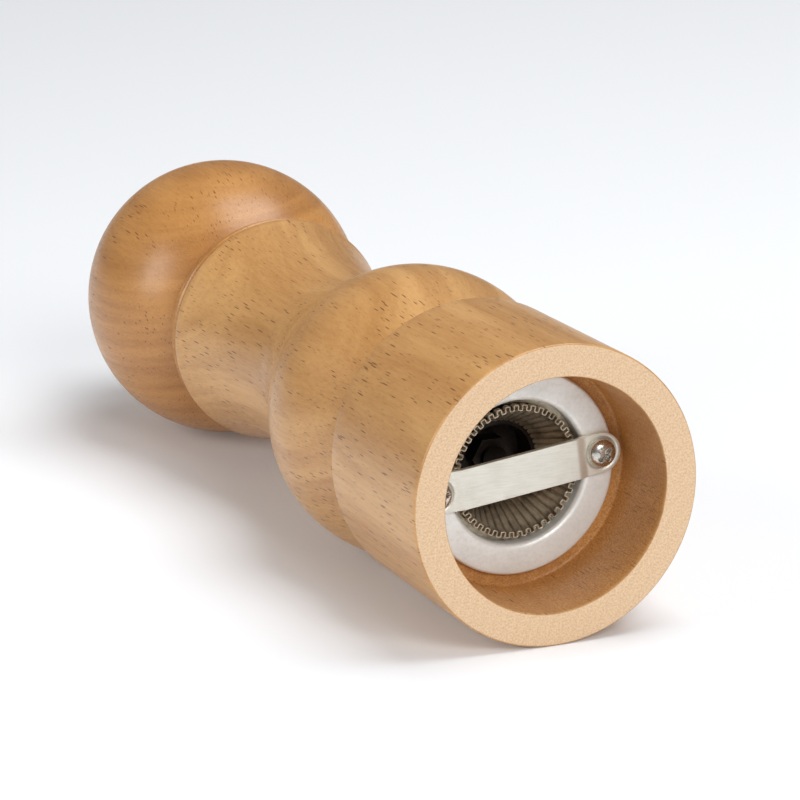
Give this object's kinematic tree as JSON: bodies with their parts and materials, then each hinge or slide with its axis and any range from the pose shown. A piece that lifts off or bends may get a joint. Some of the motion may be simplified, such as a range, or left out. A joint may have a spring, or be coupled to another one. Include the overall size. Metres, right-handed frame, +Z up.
{
  "type": "pepper mill",
  "caption": "Turned beech pepper mill with a ball head, waisted body and a recessed steel grinding mechanism held by a screwed bar.",
  "frame": {"origin": "centre of the base's underside, on the mill's axis", "axes": "+Z up along the mill's axis from the grinding outlet to the adjusting knob; +Y is the side that the mill rests on when it is laid down as in the reference view"},
  "size_m": [0.0564, 0.0564, 0.184],
  "materials": {
    "body_wood": "clear satin lacquer on turned beech",
    "head_wood": "clear satin lacquer on turned beech, a warmer piece",
    "flange_steel": "zinc plated, satin",
    "bar_steel": "zinc plated, satin, slightly warm",
    "screw_steel": "bright zinc plated",
    "burr_steel": "dark case hardened steel",
    "shaft_steel": "drawn steel",
    "spring_steel": "spring steel wire",
    "knob_metal": "nickel plated, satin",
    "washer_nylon": "natural nylon"
  },
  "bodies": {
    "mill_body": {"body": "body_wood", "flange_ring": "flange_steel", "female_burr": "burr_steel", "housing_sleeve": "flange_steel", "guide_bridge": "flange_steel", "retaining_bar": "bar_steel", "bar_screws": "screw_steel"},
    "turning_group": {"thrust_washer": "flange_steel", "spring": "spring_steel"},
    "spindle": {"shaft": "shaft_steel", "shaft_nut": "burr_steel", "burr_hub": "burr_steel", "male_burr": "burr_steel", "lower_spring_washer": "flange_steel"},
    "head_group": {"head": "head_wood", "drive_plate": "flange_steel", "drive_plate_screws": "screw_steel", "cap_plate": "knob_metal"},
    "washer_group": {"knob_washer": "washer_nylon"},
    "knob_group": {"knob": "knob_metal"}
  },
  "joints": [
    {"name": "head_turn", "type": "hinge", "parent": "mill_body", "child": "turning_group", "pos_m": [0, 0, 0.12], "axis": [0, 0, 1], "continuous": true},
    {"name": "grind_adjust", "type": "slide", "parent": "turning_group", "child": "spindle", "axis": [0, 0, 1], "range_m": [-0.0006, 0.0004], "deforming": ["spring"]},
    {"name": "head_lift_off", "type": "slide", "parent": "turning_group", "child": "head_group", "axis": [0, 0, 1], "range_m": [0, 0.085]},
    {"name": "knob_lift_off", "type": "slide", "parent": "head_group", "child": "washer_group", "axis": [0, 0, 1], "range_m": [0, 0.015]},
    {"name": "knob_turn", "type": "hinge", "parent": "washer_group", "child": "knob_group", "pos_m": [0, 0, 0.174], "axis": [0, 0, 1], "range_deg": [-180, 270]}
  ],
  "couplings": [
    {"joint": "knob_turn", "follows": "grind_adjust", "rad_per_m": -7854}
  ]
}
